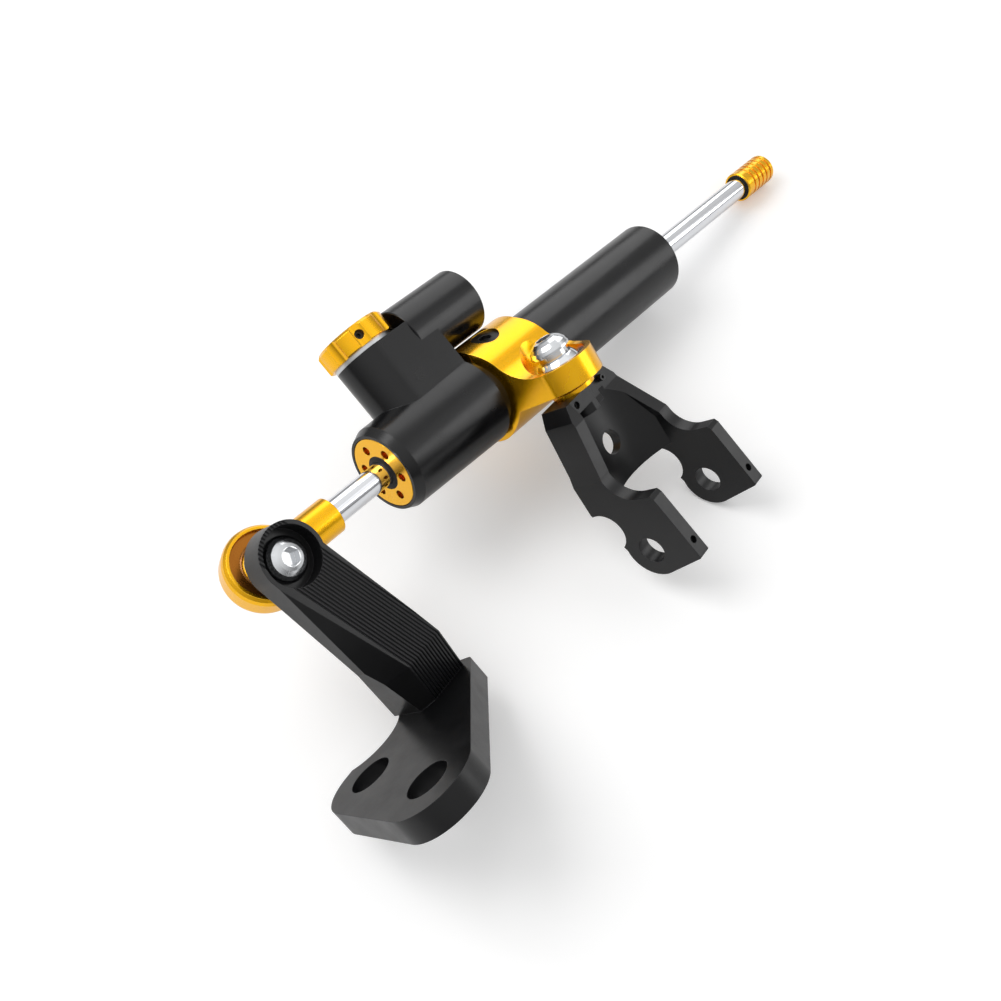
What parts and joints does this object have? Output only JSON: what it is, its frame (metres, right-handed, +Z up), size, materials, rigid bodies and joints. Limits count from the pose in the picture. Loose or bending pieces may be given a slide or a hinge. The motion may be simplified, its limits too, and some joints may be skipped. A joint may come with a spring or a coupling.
{
  "type": "motorcycle steering damper",
  "caption": "Through-rod hydraulic steering damper with side reservoir, damping knob, spherical rod-end arm bracket, and a cylinder clamp carrying a forked bracket.",
  "frame": {"origin": "centre of the hole axis through both ears of the forked bracket", "axes": "+Z up from the table that it lies on; the rod lies in the XZ plane and runs towards +X, falling 10 degrees to the end cap; +Y across"},
  "size_m": [0.3043, 0.1294, 0.073],
  "materials": {
    "black_anodised": "satin black anodised, machined",
    "gold_anodised": "satin gold anodised, turned",
    "bare_aluminium": "machined",
    "chromed_steel": "ground and hard chromed",
    "steel": "zinc plated or polished",
    "black_steel": "black oxide",
    "bronze": "turned bronze",
    "black_rubber": "moulded",
    "ring_plastic": "filled PTFE"
  },
  "bodies": {
    "barrel": {"valve_head": "black_anodised", "damper_tube": "black_anodised", "front_gland": "gold_anodised", "front_gland_seal": "black_rubber", "front_wiper": "black_rubber", "front_bush": "bronze", "rear_gland": "black_anodised", "rear_gland_seal": "black_rubber", "rear_wiper": "black_rubber", "rear_bush": "bronze", "snap_ring": "steel", "knob_washer": "bare_aluminium", "reservoir_plug": "black_anodised", "clamp": "gold_anodised", "lock_screw": "black_steel", "clamp_race": "steel"},
    "seal_ring": {"piston_ring": "ring_plastic"},
    "rod": {"piston_rod": "chromed_steel", "piston": "bare_aluminium", "front_clip": "steel", "rear_clip": "steel", "end_cap": "gold_anodised", "bump_stop": "black_rubber", "rod_end": "gold_anodised", "rod_end_race": "bronze"},
    "rod_ball": {"rod_end_ball": "chromed_steel"},
    "arm": {"arm_bolt": "steel", "arm_washer": "black_steel", "arm_bracket": "black_anodised", "nut_washer": "steel", "arm_nut": "steel"},
    "clamp_ball": {"clamp_ball": "chromed_steel"},
    "fork": {"clamp_bolt": "steel", "bolt_collar": "steel", "clamp_spacer": "gold_anodised", "fork_bracket": "black_anodised", "ear_screw_near": "black_steel", "ear_screw_far": "black_steel", "bridge_screw_near": "black_steel", "bridge_screw_far": "black_steel"},
    "knob": {"adjuster_knob": "gold_anodised", "knob_screw": "black_steel", "valve_spindle": "bronze", "spindle_seal": "black_rubber"},
    "float": {"floating_piston": "bare_aluminium", "float_seal": "black_rubber"}
  },
  "joints": [
    {"name": "rod_slide", "type": "slide", "parent": "barrel", "child": "seal_ring", "axis": [0.9848, 0, -0.1736], "range_m": [-0.0636, 0.0216]},
    {"name": "rod_spin", "type": "hinge", "parent": "seal_ring", "child": "rod", "pos_m": [-0.0593, 0.06934, 0.03117], "axis": [0.9848, 0, -0.1736], "continuous": true},
    {"name": "rod_end_tilt", "type": "hinge", "parent": "rod", "child": "rod_ball", "pos_m": [-0.10726, 0.06934, 0.03963], "axis": [-0.9784, -0.1835, 0.0953], "range_deg": [0, 38]},
    {"name": "arm_swivel", "type": "hinge", "parent": "rod_ball", "child": "arm", "pos_m": [-0.10726, 0.06934, 0.03963], "axis": [0.1945, -0.6606, 0.7251], "range_deg": [-20, 20]},
    {"name": "clamp_tilt", "type": "hinge", "parent": "barrel", "child": "clamp_ball", "pos_m": [0.00217, 0.04795, 0.03311], "axis": [-0.1897, 0.7387, -0.6467], "range_deg": [-4, 4]},
    {"name": "fork_swivel", "type": "hinge", "parent": "clamp_ball", "child": "fork", "pos_m": [0.00217, 0.04795, 0.03311], "axis": [0.0838, 0.6685, 0.739], "range_deg": [-20, 20]},
    {"name": "knob_turn", "type": "hinge", "parent": "barrel", "child": "knob", "pos_m": [-0.03822, 0.06934, 0.02745], "axis": [0.0963, 0.832, 0.5464], "range_deg": [0, 300]},
    {"name": "piston_float", "type": "slide", "parent": "barrel", "child": "float", "axis": [0.9848, 0, -0.1736], "range_m": [-0.006, 0.0105], "stiffness_N_per_m": 2000}
  ]
}
